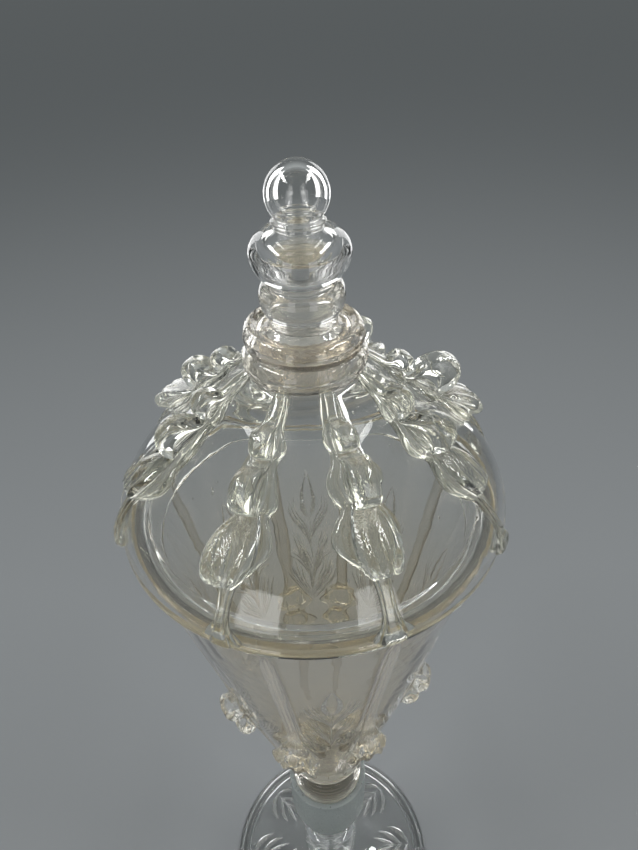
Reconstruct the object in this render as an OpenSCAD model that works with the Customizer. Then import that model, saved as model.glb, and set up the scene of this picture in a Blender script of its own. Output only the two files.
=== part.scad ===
// Lidded glass goblet: a conical bowl on a knopped stem, with a domed lid,
// pinched threads down the bowl and the lid, and a knopped finial.
// Millimetres, +Z up, origin at the centre of the foot's resting plane.
// The front of the goblet faces -Y.

/* [Foot] */
// Radius of the disc foot
foot_r = 56.5; // [50:0.5:66]
// Width of the edge that is folded under
fold_w = 6.5; // [4:0.5:9]
// Thickness of the folded edge
fold_t = 4.2; // [3:0.1:6]
// Thickness of the disc where the fold ends
disc_edge_t = 3.4; // [2.4:0.1:4]
// Height of the foot's centre, where the stem stands
boss_h = 10; // [8:0.5:16]
// Radius of the foot's flat centre
boss_r = 11; // [10:0.5:14]
// Height of the hollow under the foot's centre
kick_h = 5; // [3:0.5:6]

/* [Stem] */
// Radius of the clear knop above the foot
stem_knop_r = 15; // [12:0.5:20]
// Height of the clear knop
stem_knop_h = 28; // [20:1:36]
// Radius at both ends of the knop and the neck
stem_end_r = 9.5; // [8:0.5:10]
// Height of the clear neck
stem_neck_h = 28; // [20:1:40]
// How far the neck draws in at its middle
stem_neck_waist = 1.4; // [0.5:0.1:3]

/* [Frosted cup] */
// Radius of the cup
cup_r = 19; // [18.6:0.1:22]
// Height of the cup
cup_h = 42; // [36:1:50]
// Radius of the cup's flat base
cup_base_r = 11; // [10:0.5:14]
// Height of the cup's rounded bottom
cup_round_h = 18; // [12:1:24]

/* [Bowl base knop] */
// Radius of the knop that sits in the cup
base_knop_r = 17; // [15:0.1:17.4]
// Height of the knop's centre above the cup's rim
base_knop_lift = 5; // [3:0.5:8]
// Radius of the knop's flat top, which carries the bowl
base_knop_top_r = 9.6; // [7:0.2:12]

/* [Bowl] */
// Outer radius of the bowl's mouth
bowl_mouth_r = 56.7; // [50:0.1:64]
// Height of the bowl from the knop to the rim
bowl_h = 172.8; // [165:0.1:190]
// Outer radius where the rounded bottom meets the wall
bowl_base_r = 18; // [16:0.5:22]
// Height of the rounded bottom
bowl_round_h = 6; // [4:0.5:9]
// Thickness of the wall
bowl_wall = 3; // [2:0.1:4]
// Thickness of the bottom
bowl_bottom_t = 9; // [7:0.5:12]
// How far the wall swells beyond a straight cone
bowl_belly = 1.2; // [0:0.1:3]

/* [Lid] */
// How far the lid's rim stands out beyond the bowl's rim
lid_overhang = 3.3; // [2:0.1:6]
// Thickness of the dome's wall
lid_wall = 3; // [2:0.1:4]
// Height of the dome from the seat to the collar
dome_h = 49.7; // [44:0.1:58]
// How far the dome's flat top stands out beyond the collar's foot
dome_top_margin = 1.3; // [0.8:0.1:3]
// How far the shoulder leans out, above the rim
shoulder_out = 2; // [0:0.1:4]
// Height over which the shoulder turns in
shoulder_h = 17.5; // [12:0.5:22]
// How far the upper slope runs out from the top
slope_run = 27.7; // [22:0.1:32]
// How far the upper slope drops from the top
slope_drop = 26.3; // [22:0.1:30]

/* [Lid bezel] */
// Depth that the bezel reaches into the bowl
bezel_drop = 8; // [5:0.5:14]
// Thickness of the bezel
bezel_wall = 2.2; // [1.6:0.1:3]
// Thickness of the flange that rests on the bowl's rim
flange_t = 2.8; // [2:0.1:4]
// Clearance between the bezel and the inside of the bowl
bezel_gap = 0.6; // [0.4:0.1:1.5]

/* [Finial] */
// Radius of the lower collar ring
collar_lower_r = 17.2; // [16.5:0.1:20]
// Height of the lower collar ring
collar_lower_h = 7; // [5:0.5:9]
// Radius of the upper collar ring
collar_upper_r = 16.4; // [16:0.1:19]
// Height of the upper collar ring
collar_upper_h = 6.5; // [5:0.5:9]
// Radius where the collar rings meet each other and the dome
collar_end_r = 15.2; // [14:0.1:15.8]
// Radius of the upper collar ring's top
collar_top_r = 14.2; // [12:0.1:15.2]
// Radius of the neck above the collar
finial_neck_r = 9.2; // [8:0.1:11]
// Height of that neck
finial_neck_h = 3; // [2:0.5:6]
// Radius of the small knop
small_knop_r = 11.3; // [10.5:0.1:14]
// Height of the small knop
small_knop_h = 10; // [8:0.5:13]
// Radius of the wide knop
wide_knop_r = 13; // [11:0.1:16]
// Height of the wide knop
wide_knop_h = 13; // [10:0.5:16]
// Radius where the knops meet
knop_end_r = 8.6; // [7:0.1:10]
// Radius of the neck under the ball
ball_neck_r = 6; // [5:0.1:7]
// Height of the neck under the ball
ball_neck_h = 2; // [1:0.5:4]
// Radius of the ball
ball_r = 7.9; // [7.2:0.1:10]

/* [Threads] */
// Number of threads on the bowl, and on the lid
thread_count = 8; // [6:1:10]
// Turn of the lid's threads about the axis, from the front
lid_thread_turn = -3; // [-22:0.5:22]
// Turn of the bowl's threads about the axis, from the front
bowl_thread_turn = 3; // [-22:0.5:22]
// Hairline between a thread and the wall that carries it
hairline = 0.08; // [0.05:0.01:0.2]
// How far the free tip of a pinch reaches past its foot
tip_reach = 3; // [0:0.1:4]

/* [Lid threads] */
// Distance from the collar at which a thread starts
lid_thread_start = 1; // [0.5:0.5:4]
// Length of the plain thread above the bud
lid_thread_l = 8; // [5:0.5:10]
// Width of the plain thread
lid_thread_w = 5; // [3:0.1:6]
// Height of the plain thread
lid_thread_h = 2; // [1:0.1:3]
// Length of the bud, the first pinch
bud_l = 6.5; // [5:0.5:9]
// Width of the bud
bud_w = 8; // [6:0.5:10]
// Height of the bud
bud_h = 4; // [3:0.1:6]
// Length of the knob, the second pinch
knob_l = 14; // [10:0.5:16]
// Width of the knob's foot
knob_w = 12.5; // [9:0.5:15]
// Height of the knob
knob_h = 8.4; // [5:0.1:10]
// How steeply the knob narrows from its foot to its crown
knob_fin = 1.7; // [1:0.1:3]
// Length of the beak, the last pinch
beak_l = 19.5; // [15:0.5:22]
// Width of the beak
beak_w = 14; // [10:0.5:17]
// Height of the beak
beak_h = 6.8; // [4:0.1:8]
// Width of the rib below the beak
rib_w = 3.4; // [2:0.1:5]
// Height of the rib below the beak
rib_h = 1.3; // [0.8:0.1:2]
// Distance from the lid's rim at which the rib ends
rib_margin = 2; // [1:0.5:5]

/* [Bowl threads] */
// Distance below the bowl's rim at which a thread starts
bowl_thread_start = 8; // [5:0.5:12]
// Length of the plain thread above the fans
bowl_thread_l = 78; // [60:1:84]
// Width of the plain thread
bowl_thread_w = 4.6; // [3:0.1:6]
// Height of the plain thread
bowl_thread_h = 1.5; // [1:0.1:3]
// Length of each of the two fans
fan_l = 20; // [14:0.5:23]
// Width of each of the two fans
fan_w = 15; // [9:0.5:16]
// Height of each of the two fans
fan_h = 7; // [5:0.1:9]
// How steeply a fan narrows from its foot to its crown
fan_fin = 1.3; // [1:0.1:3]
// Length of the tail below the fans
tail_l = 30; // [16:1:34]

/* [Hidden] */
$fn = 96;

// Steps along a curved outline, along the dome's run and round a thread
curve_steps = 28;
knop_steps = 16;
round_steps = 10;
under_steps = 4;
over_steps = 8;
// Width and height to which a thread tapers at its ends
taper_w = 1.4;
taper_h = 0.5;
// Length of the taper at a thread's ends
taper_l = 3;
// Place along a pinch at which it stands highest, as a share of its length
crest = 0.8;
// How late a pinch is widest, and how full its outline is
swell_late = 1.5;
swell_full = 0.6;
// Stations along a pinch, as shares of its length
pinch_steps = [0, 0.2, 0.42, 0.62, 0.8, 0.92, 0.98];

// Heights of the joints between the pieces, from the foot up
stem_neck_z = boss_h + stem_knop_h;
cup_z = stem_neck_z + stem_neck_h;
cup_rim_z = cup_z + cup_h;
base_knop_z = cup_rim_z + base_knop_lift;
bowl_z = base_knop_z + sqrt(pow(base_knop_r, 2) - pow(base_knop_top_r, 2));
bowl_wall_z = bowl_z + bowl_round_h;
seat_z = bowl_z + bowl_h;
dome_top_z = seat_z + dome_h;
collar_upper_z = dome_top_z + collar_lower_h;
finial_neck_z = collar_upper_z + collar_upper_h;
small_knop_z = finial_neck_z + finial_neck_h;
wide_knop_z = small_knop_z + small_knop_h;
ball_neck_z = wide_knop_z + wide_knop_h;
ball_join_z = ball_neck_z + ball_neck_h;
ball_z = ball_join_z + sqrt(pow(ball_r, 2) - pow(ball_neck_r, 2));

lid_r = bowl_mouth_r + lid_overhang;
dome_top_r = collar_end_r + dome_top_margin;

// The dome's outer outline as one cubic curve, from the top down to the rim
dome_curve = [
  [dome_top_r, dome_top_z],
  [dome_top_r + slope_run, dome_top_z - slope_drop],
  [lid_r + shoulder_out, seat_z + shoulder_h],
  [lid_r, seat_z]
];

function cubic(p, t) =
  pow(1 - t, 3) * p[0] + 3 * t * pow(1 - t, 2) * p[1] + 3 * t * t * (1 - t) * p[2] + pow(t, 3) * p[3];

function cubic_slope(p, t) =
  3 * pow(1 - t, 2) * (p[1] - p[0]) + 6 * t * (1 - t) * (p[2] - p[1]) + 3 * t * t * (p[3] - p[2]);

function unit(v) = v / norm(v);

// Outward normal of a radius and height outline that runs downwards
function outward(slope) = unit([-slope[1], slope[0]]);

function dome_point(t) = cubic(dome_curve, t);
function dome_normal(t) = outward(cubic_slope(dome_curve, t));

// Length along the dome from its top, against the curve's parameter
function dome_step(i) = norm(dome_point((i + 1) / curve_steps) - dome_point(i / curve_steps));
dome_run = [for (i = 0, l = 0; i <= curve_steps; l = l + dome_step(i), i = i + 1) [l, i / curve_steps]];
dome_length = dome_run[curve_steps][0];
function dome_at(l) = lookup(l, dome_run);

// Outer radius of the bowl's wall at a height, and its outward normal
function wall_share(z) = (z - bowl_wall_z) / (seat_z - bowl_wall_z);
function bowl_r(z) =
  bowl_base_r + (bowl_mouth_r - bowl_base_r) * wall_share(z)
  + 4 * bowl_belly * wall_share(z) * (1 - wall_share(z));
function bowl_lean(z) =
  ((bowl_mouth_r - bowl_base_r) + 4 * bowl_belly * (1 - 2 * wall_share(z))) / (seat_z - bowl_wall_z);
function bowl_normal(z) = unit([1, -bowl_lean(z)]);
function bowl_inner_r(z) = bowl_r(z) - bowl_wall * norm([1, bowl_lean(z)]);

// Outline of a solid knop: it swells from one end radius to the middle and back to the other
function knop_outline(z, h, middle_r, low_r, high_r) = [
  [0, z],
  for (i = [0 : knop_steps])
    let (a = -90 + 180 * i / knop_steps, end_r = i < knop_steps / 2 ? low_r : high_r)
      [end_r + (middle_r - end_r) * cos(a), z + h / 2 + h / 2 * sin(a)],
  [0, z + h]
];

module knop(z, h, middle_r, low_r, high_r) {
  rotate_extrude() polygon(knop_outline(z, h, middle_r, low_r, high_r));
}

// A thread's station is [place, width, height, reach, fin]. A pinch is widest past its middle,
// climbs to its crest, reaches past its foot there and drops at its free end.
function swell(share) = pow(sin(180 * pow(share, swell_late)), swell_full);
function climb(share) = share < crest ? sin(90 * share / crest) : cos(90 * (share - crest) / (1 - crest));
function reach(share) = tip_reach * pow(climb(share), 2) * share;
function pinch_stations(start, length, width, height, fin, plain_w, plain_h) = [
  for (f = pinch_steps)
    [start + f * length, plain_w + (width - plain_w) * swell(f), plain_h + (height - plain_h) * climb(f),
      reach(f), 1 + (fin - 1) * climb(f)]
];

// Points round a thread at one station: under it from side to side, then back over its crown.
// The thread wraps round the axis, so its underside keeps the hairline to the wall.
// The wall runs down from the foot along [normal[1], -normal[0]].
function wrapped(foot, normal, across, off, ahead) =
  let (r = foot[0] + off * normal[0] + ahead * normal[1], a = across / foot[0] * 180 / PI)
    [r * cos(a), r * sin(a), foot[1] + off * normal[1] - ahead * normal[0]];

function crown_share(i, fin) = pow(sin(180 * i / over_steps), fin);
function thread_ring(foot, normal, width, height, ahead, fin) = concat(
  [for (i = [0 : under_steps]) wrapped(foot, normal, width * (0.5 - i / under_steps), hairline, 0)],
  [for (i = [1 : over_steps - 1])
    wrapped(foot, normal, -width / 2 * cos(180 * i / over_steps),
      hairline + height * crown_share(i, fin), ahead * crown_share(i, fin))]
);

ring_count = under_steps + over_steps;
crown_index = under_steps + over_steps / 2;

function thread_faces(stations) = concat(
  [for (i = [0 : stations - 2], j = [0 : ring_count - 1])
    let (a = i * ring_count + j, b = i * ring_count + (j + 1) % ring_count)
      each [[a, b, b + ring_count], [a, b + ring_count, a + ring_count]]],
  [for (j = [0 : ring_count - 1])
    if (j != crown_index && (j + 1) % ring_count != crown_index)
      each [[crown_index, (j + 1) % ring_count, j],
        [crown_index, j, (j + 1) % ring_count] + (stations - 1) * ring_count * [1, 1, 1]]]
);

// Stations of a lid thread, by length along the dome from the collar
bud_start = lid_thread_start + lid_thread_l;
knob_start = bud_start + bud_l;
beak_start = knob_start + knob_l;
rib_start = beak_start + beak_l;
rib_end = dome_length - rib_margin;
lid_stations = concat(
  [[lid_thread_start, taper_w, taper_h, 0, 1],
   [lid_thread_start + taper_l, lid_thread_w, lid_thread_h, 0, 1]],
  pinch_stations(bud_start, bud_l, bud_w, bud_h, 1, lid_thread_w, lid_thread_h),
  pinch_stations(knob_start, knob_l, knob_w, knob_h, knob_fin, lid_thread_w, lid_thread_h),
  pinch_stations(beak_start, beak_l, beak_w, beak_h, 1, lid_thread_w, lid_thread_h),
  [for (i = [0 : 4]) [rib_start + (rib_end - taper_l - rib_start) * i / 4, rib_w, rib_h, 0, 1]],
  [[rib_end, taper_w, taper_h, 0, 1]]
);

// Stations of a bowl thread, by depth below the bowl's rim
fan_start = bowl_thread_start + bowl_thread_l;
tail_start = fan_start + 2 * fan_l;
tail_end = tail_start + tail_l;
bowl_stations = concat(
  [[bowl_thread_start, taper_w, taper_h, 0, 1]],
  [for (i = [0 : 3])
    [bowl_thread_start + taper_l + (bowl_thread_l - 2 * taper_l) * i / 3,
     bowl_thread_w, bowl_thread_h, 0, 1]],
  pinch_stations(fan_start, fan_l, fan_w, fan_h, fan_fin, bowl_thread_w, bowl_thread_h),
  pinch_stations(fan_start + fan_l, fan_l, fan_w, fan_h, fan_fin, bowl_thread_w, bowl_thread_h),
  [for (i = [0 : 2])
    [tail_start + (tail_l - taper_l) * i / 2, bowl_thread_w, bowl_thread_h, 0, 1]],
  [[tail_end, taper_w, taper_h, 0, 1]]
);

lid_thread_points = [
  for (s = lid_stations)
    each thread_ring(dome_point(dome_at(s[0])), dome_normal(dome_at(s[0])), s[1], s[2], s[3], s[4])
];
bowl_thread_points = [
  for (s = bowl_stations)
    let (z = seat_z - s[0])
      each thread_ring([bowl_r(z), z], bowl_normal(z), s[1], s[2], s[3], s[4])
];

// Azimuth of a thread, counted from one, with the front between the first and the last
function thread_azimuth(k, turn) = -90 + turn + 360 / thread_count * (k - 0.5);

lid_threads = [for (k = [1 : thread_count]) str("lid_trail_", k)];
bowl_threads = [for (k = [1 : thread_count]) str("bowl_trail_", k)];

clear_glass = [0.86, 0.89, 0.88, 0.45];
straw_glass = [0.85, 0.80, 0.68, 0.55];
frosted_glass = [0.74, 0.78, 0.79, 0.85];

// Disc foot: a folded edge to stand on, a hollow underside and a concave rise to the stem
module foot() {
  fold_in_r = foot_r - fold_w;
  edge_r = fold_t / 2;
  color(clear_glass) rotate_extrude() polygon(concat(
    [for (i = [0 : round_steps]) let (q = i / round_steps) [fold_in_r * q, kick_h * pow(1 - q, 2)]],
    [for (i = [0 : round_steps])
      let (a = -90 + 180 * i / round_steps) [foot_r - edge_r + edge_r * cos(a), edge_r + edge_r * sin(a)]],
    [for (i = [0 : round_steps])
      let (q = i / round_steps)
        [fold_in_r + (boss_r - fold_in_r) * q, disc_edge_t + (boss_h - disc_edge_t) * q * q]],
    [[0, boss_h]]
  ));
}

// Clear knop between the foot and the neck
module stem_knop() {
  color(clear_glass) knop(boss_h, stem_knop_h, stem_knop_r, stem_end_r, stem_end_r);
}

// Clear neck, drawn in at its middle
module stem_neck() {
  color(clear_glass) knop(stem_neck_z, stem_neck_h, stem_end_r - stem_neck_waist, stem_end_r, stem_end_r);
}

// Matte cup with a rounded bottom and a round seat for the knop
module frosted_cup() {
  color(frosted_glass) difference() {
    rotate_extrude() polygon(concat(
      [[0, cup_z]],
      [for (i = [0 : round_steps])
        let (a = 90 * i / round_steps)
          [cup_base_r + (cup_r - cup_base_r) * sin(a), cup_z + cup_round_h * (1 - cos(a))]],
      [[cup_r, cup_rim_z], [0, cup_rim_z]]
    ));
    translate([0, 0, base_knop_z]) sphere(base_knop_r + hairline);
  }
}

// Solid knop under the bowl, a ball cut flat at the top
module bowl_base_knop() {
  color(straw_glass) difference() {
    translate([0, 0, base_knop_z]) sphere(base_knop_r);
    translate([0, 0, bowl_z]) cylinder(r = 2 * base_knop_r, h = base_knop_r);
  }
}

// Blown bowl: a rounded bottom and a long, slightly swelling cone, open at the top
module bowl() {
  floor_z = bowl_z + bowl_bottom_t;
  inner_round_h = bowl_round_h;
  inner_z = floor_z + inner_round_h;
  color(clear_glass) rotate_extrude() polygon(concat(
    [[0, bowl_z]],
    [for (i = [0 : round_steps])
      let (a = 90 * i / round_steps)
        [base_knop_top_r + (bowl_base_r - base_knop_top_r) * sin(a), bowl_z + bowl_round_h * (1 - cos(a))]],
    [for (i = [1 : curve_steps])
      let (z = bowl_wall_z + (seat_z - bowl_wall_z) * i / curve_steps) [bowl_r(z), z]],
    [for (i = [0 : curve_steps])
      let (z = seat_z + (inner_z - seat_z) * i / curve_steps) [bowl_inner_r(z), z]],
    [for (i = [1 : round_steps])
      let (a = 90 * i / round_steps)
        [bowl_inner_r(inner_z) * cos(a), inner_z - inner_round_h * sin(a)]]
  ));
}

// Thread down the bowl, pinched into two fans, with a plain tail
module bowl_trail(k) {
  color(straw_glass) rotate([0, 0, thread_azimuth(k, bowl_thread_turn)])
    polyhedron(bowl_thread_points, thread_faces(len(bowl_stations)));
}

// Blown dome with a closed top and an open rim
module lid_dome() {
  color(clear_glass) rotate_extrude() polygon(concat(
    [[0, dome_top_z]],
    [for (i = [0 : curve_steps]) dome_point(i / curve_steps)],
    [[lid_r - lid_wall, seat_z]],
    [for (i = [curve_steps - 1 : -1 : 0])
      dome_point(i / curve_steps) - lid_wall * dome_normal(i / curve_steps)],
    [[0, dome_top_z - lid_wall * dome_normal(0)[1]]]
  ));
}

// Ring inside the lid's rim: a flange that rests on the bowl and a drop that centres the lid
module lid_bezel() {
  flange_r = lid_r - lid_wall - hairline;
  mouth_r = bowl_inner_r(seat_z) - bezel_gap;
  low_r = bowl_inner_r(seat_z - bezel_drop) - bezel_gap;
  color(straw_glass) rotate_extrude() polygon([
    [low_r - bezel_wall, seat_z - bezel_drop],
    [low_r, seat_z - bezel_drop],
    [mouth_r, seat_z],
    [flange_r, seat_z],
    [flange_r, seat_z + flange_t],
    [mouth_r - bezel_wall, seat_z + flange_t]
  ]);
}

// Thread down the dome, pinched into a bud, a knob and a beak, with a thin rib to the rim
module lid_trail(k) {
  color(straw_glass) rotate([0, 0, thread_azimuth(k, lid_thread_turn)])
    polyhedron(lid_thread_points, thread_faces(len(lid_stations)));
}

// Lower collar ring, on the dome's flat top
module collar_lower_ring() {
  color(straw_glass) knop(dome_top_z, collar_lower_h, collar_lower_r, collar_end_r, collar_end_r);
}

// Upper collar ring
module collar_upper_ring() {
  color(straw_glass) knop(collar_upper_z, collar_upper_h, collar_upper_r, collar_end_r, collar_top_r);
}

// Short neck between the collar and the small knop
module finial_neck() {
  color(straw_glass) translate([0, 0, finial_neck_z]) cylinder(r = finial_neck_r, h = finial_neck_h);
}

// Small knop of the finial
module small_knop() {
  color(clear_glass) knop(small_knop_z, small_knop_h, small_knop_r, finial_neck_r, knop_end_r);
}

// Wide, flattened knop of the finial
module wide_knop() {
  color(clear_glass) knop(wide_knop_z, wide_knop_h, wide_knop_r, knop_end_r, ball_neck_r);
}

// Ball on its short neck
module finial_ball() {
  color(clear_glass) union() {
    translate([0, 0, ball_neck_z]) cylinder(r = ball_neck_r, h = ball_neck_h);
    difference() {
      translate([0, 0, ball_z]) sphere(ball_r);
      translate([0, 0, ball_join_z - 2 * ball_r]) cylinder(r = 2 * ball_r, h = 2 * ball_r);
    }
  }
}

foot();
stem_knop();
stem_neck();
frosted_cup();
bowl_base_knop();
bowl();
for (k = [1 : thread_count]) bowl_trail(k);
lid_dome();
lid_bezel();
for (k = [1 : thread_count]) lid_trail(k);
collar_lower_ring();
collar_upper_ring();
finial_neck();
small_knop();
wide_knop();
finial_ball();
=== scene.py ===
import bpy
import numpy as np
from mathutils import Matrix, Vector


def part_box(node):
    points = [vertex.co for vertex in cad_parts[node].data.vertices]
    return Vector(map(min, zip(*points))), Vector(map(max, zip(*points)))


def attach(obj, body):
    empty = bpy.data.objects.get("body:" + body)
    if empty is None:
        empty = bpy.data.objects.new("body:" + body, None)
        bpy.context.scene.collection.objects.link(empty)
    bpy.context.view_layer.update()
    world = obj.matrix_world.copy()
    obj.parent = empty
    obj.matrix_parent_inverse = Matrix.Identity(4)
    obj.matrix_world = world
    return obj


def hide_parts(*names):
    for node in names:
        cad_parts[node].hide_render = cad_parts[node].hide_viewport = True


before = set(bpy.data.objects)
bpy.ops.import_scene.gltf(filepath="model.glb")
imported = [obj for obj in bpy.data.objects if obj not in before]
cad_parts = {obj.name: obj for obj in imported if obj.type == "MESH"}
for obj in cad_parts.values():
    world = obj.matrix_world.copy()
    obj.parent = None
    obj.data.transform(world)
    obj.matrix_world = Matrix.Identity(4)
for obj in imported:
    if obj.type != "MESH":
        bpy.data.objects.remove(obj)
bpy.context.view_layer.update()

# Table, soft light and camera
# The goblet stands on a plain mid grey table. Two long strip lamps hang overhead, four upright strips light
# its edges, and four wide soft lamps fill its sides.
# The camera is held a little above the finial and looks down over the lid, as a phone was.
scene = bpy.context.scene


def placed(name, data):
    """Adds an object for a mesh, a lamp or a camera to the scene."""
    item = bpy.data.objects.new(name, data)
    scene.collection.objects.link(item)
    return item


table_half = 14
table_colour = (0.215, 0.225, 0.232, 1)
table_mesh = bpy.data.meshes.new("table")
table_corners = [(x * table_half, y * table_half, 0) for x, y in ((-1, -1), (1, -1), (1, 1), (-1, 1))]
table_mesh.from_pydata(table_corners, [], [(0, 1, 2, 3)])
table = placed("table", table_mesh)
table_finish = bpy.data.materials.new("table_pale_sheet")
table_finish.use_nodes = True
table_shader = table_finish.node_tree.nodes["Principled BSDF"]
table_shader.inputs["Base Color"].default_value = table_colour
table_shader.inputs["Roughness"].default_value = 0.55
table_mesh.materials.append(table_finish)

room = bpy.data.worlds.new("room")
room.use_nodes = True
sky_nodes, sky_link = room.node_tree.nodes, room.node_tree.links.new
sky = sky_nodes["Background"]
sky.inputs["Color"].default_value = (0.88, 0.94, 0.95, 1)
look = sky_nodes.new("ShaderNodeTexCoord")
look_parts = sky_nodes.new("ShaderNodeSeparateXYZ")
brighten = sky_nodes.new("ShaderNodeMapRange")
for socket, value in (("From Min", 0.05), ("From Max", 0.9), ("To Min", 0.12), ("To Max", 0.48)):
    brighten.inputs[socket].default_value = value
sky_link(look.outputs["Generated"], look_parts.inputs["Vector"])
sky_link(look_parts.outputs["Z"], brighten.inputs["Value"])
sky_link(brighten.outputs["Result"], sky.inputs["Strength"])
scene.world = room


def strip_lamp(name, place, aim, size, power):
    """Adds a rectangular lamp that the camera doesn't see, turned from its place to face the aim point."""
    lamp = bpy.data.lights.new(name, "AREA")
    lamp.shape = "RECTANGLE"
    lamp.size, lamp.size_y = size
    lamp.energy = power
    holder = placed(name, lamp)
    holder.location = place
    holder.rotation_euler = (Vector(aim) - Vector(place)).to_track_quat("-Z", "Y").to_euler()
    holder.visible_camera = False
    return holder


goblet_only = bpy.data.collections.new("table_left_out")
goblet_only.objects.link(table)
goblet_only.collection_objects[0].light_linking.link_state = "EXCLUDE"
goblet_middle, finial_tip = (0, 0, 0.25), (0, 0, 0.4)
overhead_power, fill_power, upright_power = 7, 6, 1.6
for side in (-1, 1):
    place = (0.62 * side, 0.02, 1.15)
    strip_lamp(f"overhead_strip_{side}", place, goblet_middle, (0.75, 0.12), overhead_power)
    for way, place in (("across", (1.2 * side, 0, 0.5)), ("deep", (0, 1.2 * side, 0.5))):
        fill = strip_lamp(f"soft_fill_{way}_{side}", place, goblet_middle, (1, 1), fill_power)
        fill.light_linking.receiver_collection = goblet_only
        fill.visible_glossy = fill.visible_transmission = False
    for depth in (-1, 1):
        place = (0.4 * side, 0.74 * depth, 0.42)
        upright = strip_lamp(f"upright_strip_{side}_{depth}", place, finial_tip, (0.3, 0.7), upright_power)
        upright.light_linking.receiver_collection = goblet_only

view_eye = np.array([0, -0.1507, 0.4436])
view_pitch, view_yaw, view_roll = np.radians([37.5, 1.126, -2.3485])
view_ahead = np.array([np.sin(view_yaw) * np.cos(view_pitch), np.cos(view_yaw) * np.cos(view_pitch),
                       -np.sin(view_pitch)])
view_level = np.array([np.cos(view_yaw), -np.sin(view_yaw), 0])
view_above = np.cross(view_level, view_ahead)
view_side = np.cos(view_roll) * view_level + np.sin(view_roll) * view_above
view_top = np.cos(view_roll) * view_above - np.sin(view_roll) * view_level
camera_lens = bpy.data.cameras.new("camera")
camera_lens.sensor_width = 36
picture_width, picture_height = 638, 850
camera_lens.lens = camera_lens.sensor_width * picture_width / picture_height
camera_lens.clip_start = 0.01
camera = placed("camera", camera_lens)
camera_turn = np.eye(4)
camera_turn[:3] = np.stack([view_side, view_top, -view_ahead, view_eye], axis=1)
camera.matrix_world = Matrix(camera_turn.tolist())
scene.camera = camera

scene.view_settings.view_transform = "Standard"
scene.cycles.max_bounces = 28
scene.cycles.transmission_bounces = 28
scene.cycles.glossy_bounces = 12

# Foot
# A disc of clear soda glass, spun out on the punty. Its edge is folded under, round trapped air, to stand on.
# The underside rises into a shallow kick. The top, cut with leaves, sweeps up to a boss that takes the stem.
mm = 0.001
# How far a piece of glass bites into the next
join = 0.15 * mm


def soft_outline(points, step, soften, closed=False):
    """Resamples a (radius, height) line at an even step and averages it over the soften distance, both in mm,
    so that its corners come out fire-polished. An open line keeps its ends."""
    points, step, soften = np.asarray(points, float), step * mm, soften * mm
    if closed:
        points = np.concatenate([points, points[:1]])
    run = np.concatenate([[0], np.cumsum(np.hypot(*np.diff(points, axis=0).T))])
    even = np.linspace(0, run[-1], max(int(run[-1] / step), 12))
    line = np.stack([np.interp(even, run, points[:, 0]), np.interp(even, run, points[:, 1])], axis=1)
    reach = max(int(soften / step), 1)
    if closed:
        line = line[:-1]
        padded = np.concatenate([line[-reach:], line, line[:reach]])
    else:
        padded = np.concatenate([2 * line[0] - line[reach:0:-1], line, 2 * line[-1] - line[-2:-reach - 2:-1]])
    window = np.hanning(2 * reach + 3)[1:-1]
    return np.stack([np.convolve(padded[:, k], window / window.sum(), mode="valid") for k in (0, 1)], axis=1)


def tube_faces(rings, around):
    """Faces of a tube of rings of points, counted ring by ring: quads from ring to ring, then a fan at each
    end, to two more points that follow the rings."""
    index = np.arange(rings * around).reshape(rings, around)
    ahead = np.roll(index, -1, axis=1)
    quads = np.stack([index[:-1], ahead[:-1], ahead[1:], index[1:]], axis=2).reshape(-1, 4)
    start_fan = np.stack([np.full(around, rings * around), ahead[0], index[0]], axis=1)
    end_fan = np.stack([index[-1], ahead[-1], np.full(around, rings * around + 1)], axis=1)
    return quads, start_fan, end_fan


def turned(line, around=128, sway=0, tilt=0, seed=0):
    """Carries a (radius, height) line round the axis. The radius gains two slow waves of the angle, sway high
    as a share, and the height one wave, tilt high at full radius. A line that starts and ends on the axis
    closes in a fan at each end, and any other joins its end to its start. Gives points and faces."""
    phase = np.random.default_rng(seed).uniform(0, 2 * np.pi, 3)
    angle = np.arange(around) / around * 2 * np.pi
    wave = 1 + sway * (np.cos(2 * angle + phase[0]) + 0.5 * np.cos(3 * angle + phase[1]))
    lift = tilt * np.cos(angle + phase[2])
    on_axis = abs(line[0, 0]) < 1e-7 and abs(line[-1, 0]) < 1e-7
    rings = line[1:-1] if on_axis else line
    radius = rings[:, :1] * wave
    height = rings[:, 1:] + lift * rings[:, :1] / rings[:, 0].max()
    points = np.stack([radius * np.cos(angle), radius * np.sin(angle), height], axis=2).reshape(-1, 3)
    quads, start_fan, end_fan = tube_faces(len(rings), around)
    if not on_axis:
        seam = np.concatenate([end_fan[:, :2], start_fan[:, 1:]], axis=1)
        return points, quads.tolist() + seam.tolist()
    points = np.concatenate([points, [[0, 0, line[0, 1]], [0, 0, line[-1, 1]]]])
    return points, quads.tolist() + start_fan.tolist() + end_fan.tolist()


def glass_piece(name, *shells, cut=None):
    """Puts closed shells of points and faces into one mesh object at the origin, with smooth faces.
    The faces of cut strokes take the second finish."""
    shells = [*shells, cut] if cut else shells
    starts = np.cumsum([0] + [len(points) for points, _ in shells])
    faces = [[corner + int(start) for corner in face]
             for (_, group), start in zip(shells, starts) for face in group]
    mesh = bpy.data.meshes.new(name)
    mesh.from_pydata(np.concatenate([points for points, _ in shells]).tolist(), [], faces)
    mesh.shade_smooth()
    if cut:
        second = np.arange(len(faces)) >= len(faces) - len(cut[1])
        mesh.polygons.foreach_set("material_index", second.astype(np.int32))
    return placed(name, mesh)


def arc(middle_r, middle_z, turn, wide, high=None):
    """Points of an ellipse's arc on a (radius, height) plane, or of a circle's where high isn't given."""
    return np.stack([middle_r + wide * np.cos(turn), middle_z + (high or wide) * np.sin(turn)], axis=1)


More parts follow.
